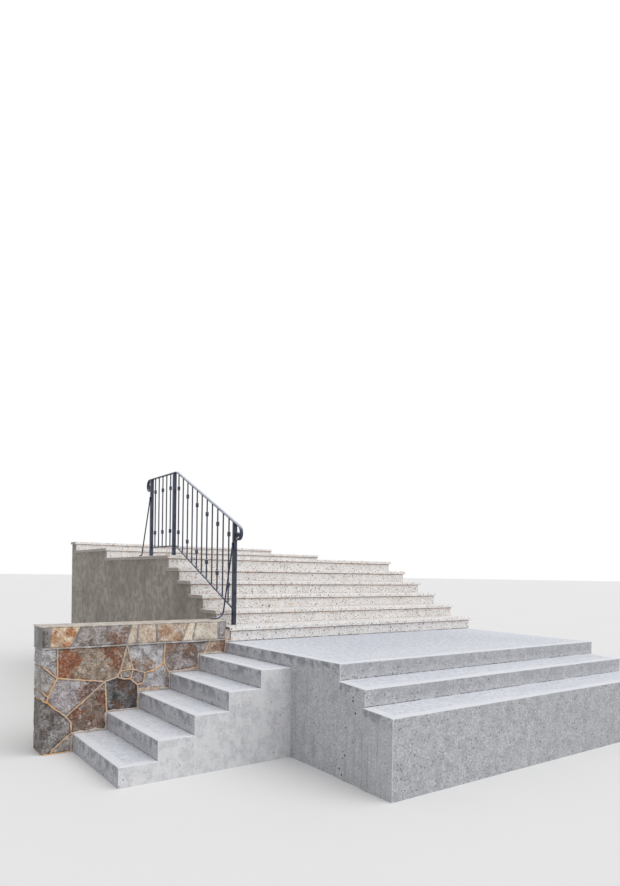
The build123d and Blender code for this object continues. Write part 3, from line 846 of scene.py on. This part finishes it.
def build_step_pointing():
    """The band of mortar smeared on the wall's face along the treads and risers of the left flight."""
    band, proud, thickness, cell = 0.018, 0.003, 0.016, 0.01
    inner = []
    for number in range(LEFT_STEPS, 0, -1):
        low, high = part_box(f"left_step_{number}")
        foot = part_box(f"left_step_{number + 1}")[1].z if number < LEFT_STEPS else 0.0
        inner += [(low.x, foot), (low.x, high.z)]
    landing_low, landing_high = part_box("landing")
    inner += [(landing_low.x, inner[-1][1]), (landing_low.x, landing_high.z)]
    inner.append((WALL_HIGH.x, landing_high.z))
    shape = bmesh.new()
    face_y = WALL_LOW.y - proud
    lower = [shape.verts.new((x, face_y, z)) for x, z in inner]
    upper = [shape.verts.new((x - band, face_y, z + band)) for x, z in inner[:-1]]
    upper.append(shape.verts.new((WALL_HIGH.x, face_y, inner[-1][1] + band)))
    upper[0].co.z = inner[0][1]
    for number in range(len(inner) - 1):
        shape.faces.new((lower[number], lower[number + 1], upper[number + 1], upper[number]))
    back = bmesh.ops.extrude_face_region(shape, geom=shape.faces[:])["geom"]
    move_made(shape, back, (0.0, thickness, 0.0))
    bmesh.ops.recalc_face_normals(shape, faces=shape.faces[:])
    cut_grid(shape, cell)
    for vert in shape.verts:
        if all(abs(vert.co.x - x) >= CLEAR and abs(vert.co.z - z) >= CLEAR for x, z in inner):
            drift = noise.noise_vector(vert.co * 11.0) * 0.016 + noise.noise_vector(vert.co * 40.0) * 0.01
            vert.co += Vector((min(drift.x, proud), 0.0, max(drift.z, -proud)))
    wear(shape, 1, 0.001, Vector((4.0, 0.0, 2.0)))
    smooth(shape)
    return finish_piece("step_pointing", shape, [SMEARED], "field_stone")


def build_cap():
    """The capping course: stones through the wall's whole thickness on a bed of grey mortar."""
    shape = bmesh.new()
    bottom = (CAP_LOW.z + CAP_FOOT - CAP_GAP / 2) * 1000
    top = (CAP_HIGH.z - CAP_COVER + CAP_GAP / 2) * 1000
    for number, name in enumerate(CAP_STONES):
        (top_left, low_left), (top_right, low_right) = CAP_JOINTS[number], CAP_JOINTS[number + 1]
        corners = ((low_left, bottom), (low_right, bottom), (top_right, top), (top_left, top))
        stone = prism([on_face(*corner) for corner in corners], CAP_HIGH.y - CAP_LOW.y, CAP_GAP)
        if number == len(CAP_STONES) - 1:
            round_end(stone, CAP_END_RADIUS * 1.1)
        cut_grid(stone, GRID)
        shift(stone, 0.004, 13.0, number, keep_depth=True)
        wear(stone, 2, 0.005, Vector((number * 1.7, 9.0, 0.0)))
        gather(shape, stone, STONE_NAMES.index(name))
    keep_within(shape, CAP_LOW, CAP_HIGH - Vector((0.0, 0.0, CAP_SKIN)))
    made = finish_piece("cap_stones", shape, STONE_FINISHES, "field_stone")
    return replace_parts(made, "wall_capping")


def build_cap_bed():
    """The grey mortar under and between the capping stones, set back from their faces."""
    setback, end_setback, cover, cell = 0.006, 0.01, 0.008, 0.04
    low = CAP_LOW + Vector((setback, setback, 0.0))
    shape = block(low, CAP_HIGH - Vector((end_setback, setback, cover)), cell)
    round_end(shape, CAP_END_RADIUS)
    middle = (CAP_LOW.y + CAP_HIGH.y) / 2
    for vert in shape.verts:
        vert.co.y += (middle - vert.co.y) * 0.02 * (noise.noise(vert.co * 14.0) + 0.5)
    return finish_piece("cap_bed", shape, [GREY], "field_stone")


def build_cap_screed():
    """The thin pale mortar struck off level over the capping stones."""
    setback, end_setback, cell = 0.001, 0.006, 0.025
    low = Vector((CAP_LOW.x, CAP_LOW.y + setback, CAP_HIGH.z - SCREED_DEPTH))
    shape = block(low, CAP_HIGH - Vector((end_setback, setback, 0.0)), cell)
    round_end(shape, CAP_END_RADIUS)
    shift(shape, 0.004, 22.0)
    shift(shape, 0.002, 90.0)
    keep_within(shape, CAP_LOW, CAP_HIGH)
    smooth(shape)
    return finish_piece("cap_screed", shape, [PALE], "field_stone")


def build_cap_seam():
    """The grey pointing between the wall and its capping, and the filling at the capping's end."""
    shape = bmesh.new()
    depth, proud, below, above, cell = 0.01, 0.001, 0.009, 0.007, 0.016
    seam_end = CAP_HIGH.x - 0.03
    for y in (CAP_LOW.y - proud, CAP_HIGH.y + proud - depth):
        low = Vector((CAP_LOW.x + 0.004, y, CAP_LOW.z - below))
        seam = block(low, Vector((seam_end, y + depth, CAP_LOW.z + above)), cell)
        shift(seam, 0.005, 28.0, keep_depth=True)
        wear(seam, 1, 0.0012, Vector((1.0, 5.0, 0.0)))
        gather(shape, seam, 0)
    filling_depth, filling_height = 0.13, 0.1
    low = Vector((seam_end, CAP_LOW.y + 0.003, CAP_LOW.z - 0.004))
    high = Vector((WALL_HIGH.x, CAP_LOW.y + filling_depth, CAP_LOW.z + filling_height))
    filling = block(low, high, cell)
    wear(filling, 2, 0.004, Vector((7.0, 1.0, 0.0)))
    gather(shape, filling, 1)
    high = Vector((WALL_HIGH.x, CAP_HIGH.y, CAP_HIGH.z))
    keep_within(shape, WALL_LOW - Vector((0.0, CLEAR, 0.0)), high)
    return finish_piece("cap_seam", shape, [POINTED, SMEARED], "field_stone")


# Ironwork details. The slope is the terrazzo flight's rise over its going.

FLIGHT_SLOPE = 150 / 315
RAIL_THICKNESS = 0.014
BEND_TO_POST = 0.07
FLIGHT_BARS = 11
LEVEL_BARS = 5


def balustrade_line(level, y):
    """Height of a line that slopes with the flight up to the bend and is level beyond it."""
    bend = (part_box("post_upper")[0].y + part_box("post_upper")[1].y) / 2 - BEND_TO_POST
    return level - max(0.0, bend - y) * FLIGHT_SLOPE


def bar_places():
    """The middle of each baluster along the balustrade."""
    lower, upper, far = (
        (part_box(node)[0].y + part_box(node)[1].y) / 2 for node in ("post_lower", "post_upper", "post_far"))
    for front, back, count in ((lower, upper, FLIGHT_BARS), (upper, far, LEVEL_BARS)):
        for number in range(1, count + 1):
            yield back - number * (back - front) / (count + 1)


def build_welds():
    """A small rounded weld where each bar meets the rail above it and the rail below it."""
    shape = bmesh.new()
    foot, tip, height, raised = 0.0115, 0.0085, 0.005, 0.001
    rail_x = (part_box("post_lower")[0].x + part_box("post_lower")[1].x) / 2
    under_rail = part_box("handrail")[1].z - RAIL_THICKNESS
    on_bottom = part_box("bottom_rail_level")[1].z
    for y in bar_places():
        tilt = math.atan(FLIGHT_SLOPE) if balustrade_line(0.0, y) < 0 else 0.0
        for level, turn in ((under_rail, math.pi), (on_bottom, 0.0)):
            place = Matrix.Translation((rail_x, y, balustrade_line(level, y)))
            place = place @ Matrix.Rotation(tilt + turn, 4, "X")
            bmesh.ops.create_cone(
                shape, cap_ends=True, segments=8, radius1=foot, radius2=tip, depth=height,
                matrix=place @ Matrix.Translation((0.0, 0.0, raised)))
    shift(shape, 0.0006, 300.0)
    smooth(shape)
    return finish_piece("welds", shape, [IRON_PAINT], "ironwork")


def build_post_grout():
    """The worn grout that each post stands in."""
    shape = bmesh.new()
    foot, top, height, raised = 0.035, 0.029, 0.003, 0.001
    for node in ("post_lower", "post_upper", "post_far"):
        low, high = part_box(node)
        place = Matrix.Translation(((low.x + high.x) / 2, (low.y + high.y) / 2, low.z + raised))
        bmesh.ops.create_cone(
            shape, cap_ends=True, segments=24, radius1=foot, radius2=top, depth=height, matrix=place)
    shift(shape, 0.0012, 90.0)
    grout = mortar("post_grout", (176, 172, 166), (138, 132, 126))
    return finish_piece("post_grout", shape, [grout], "terrazzo")


# Camera, light and floor


def build_camera():
    camera = bpy.data.cameras.new("camera")
    camera.sensor_width = SENSOR
    camera.lens = FOCAL_PIXELS * SENSOR / PHOTO_HEIGHT
    camera.shift_y = (HORIZON_PIXEL - PHOTO_HEIGHT / 2) / PHOTO_HEIGHT
    made = bpy.data.objects.new("camera", camera)
    turn = Matrix.Rotation(math.radians(CAMERA_TURN), 4, "Z")
    upright = Matrix.Rotation(math.radians(90), 4, "X")
    roll = Matrix.Rotation(math.radians(CAMERA_ROLL), 4, "Z")
    made.matrix_world = Matrix.Translation(CAMERA_PLACE) @ turn @ upright @ roll
    bpy.context.scene.collection.objects.link(made)
    bpy.context.scene.camera = made


def build_light():
    sun = bpy.data.lights.new("sky_light", "SUN")
    sun.energy = 1.7
    sun.angle = math.radians(70)
    lamp = bpy.data.objects.new("sky_light", sun)
    lamp.rotation_euler = Euler((math.radians(38), 0.0, math.radians(28)))
    bpy.context.scene.collection.objects.link(lamp)
    world = bpy.data.worlds.new("studio")
    world.use_nodes = True
    bpy.context.scene.world = world
    recipe = Recipe(world.node_tree)
    seen = recipe.add("ShaderNodeLightPath", {}).outputs
    shown = recipe.most(seen["Is Camera Ray"], seen["Is Glossy Ray"], seen["Is Transmission Ray"])
    background = world.node_tree.nodes["Background"].inputs
    background["Color"].default_value = (1.0, 1.0, 1.0, 1.0)
    recipe.feed(background["Strength"], recipe.fade(shown, 0.0, 1.0, 0.58, 1.0))


def build_floor():
    made, recipe, shader, place = material("pale_floor")
    colour = recipe.blend(recipe.clouds(place, 0.6), srgb(226, 226, 226), srgb(230, 230, 230))
    recipe.feed(shader["Base Color"], colour)
    shader["Roughness"].default_value = 0.9
    shape = bmesh.new()
    bmesh.ops.create_grid(shape, x_segments=1, y_segments=1, size=400.0)
    finish_piece("floor", shape, [made])


def finish_piece(name, shape, materials, slot=None):
    """Makes a bmesh an object at the origin. It rides on the steps if it has a material slot."""
    mesh = bpy.data.meshes.new(name)
    shape.to_mesh(mesh)
    shape.free()
    for each in materials:
        mesh.materials.append(each)
    made = bpy.data.objects.new(name, mesh)
    bpy.context.scene.collection.objects.link(made)
    if slot:
        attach(made, "root")
    return made


def dress(node, finish):
    """Gives a node its material, on all its faces."""
    mesh = nodes[node].data
    mesh.materials.clear()
    mesh.materials.append(finish)


IRON_PAINT = ironwork()

build_camera()
build_light()
build_floor()
dress_concrete()
dress_terrazzo()
for iron_node in IRON_NODES:
    dress(iron_node, IRON_PAINT)
build_wall_mortar()
build_wall_stones()
build_step_pointing()
build_cap()
build_cap_bed()
build_cap_screed()
build_cap_seam()
build_welds()
build_post_grout()

bpy.context.scene.view_settings.view_transform = "Standard"
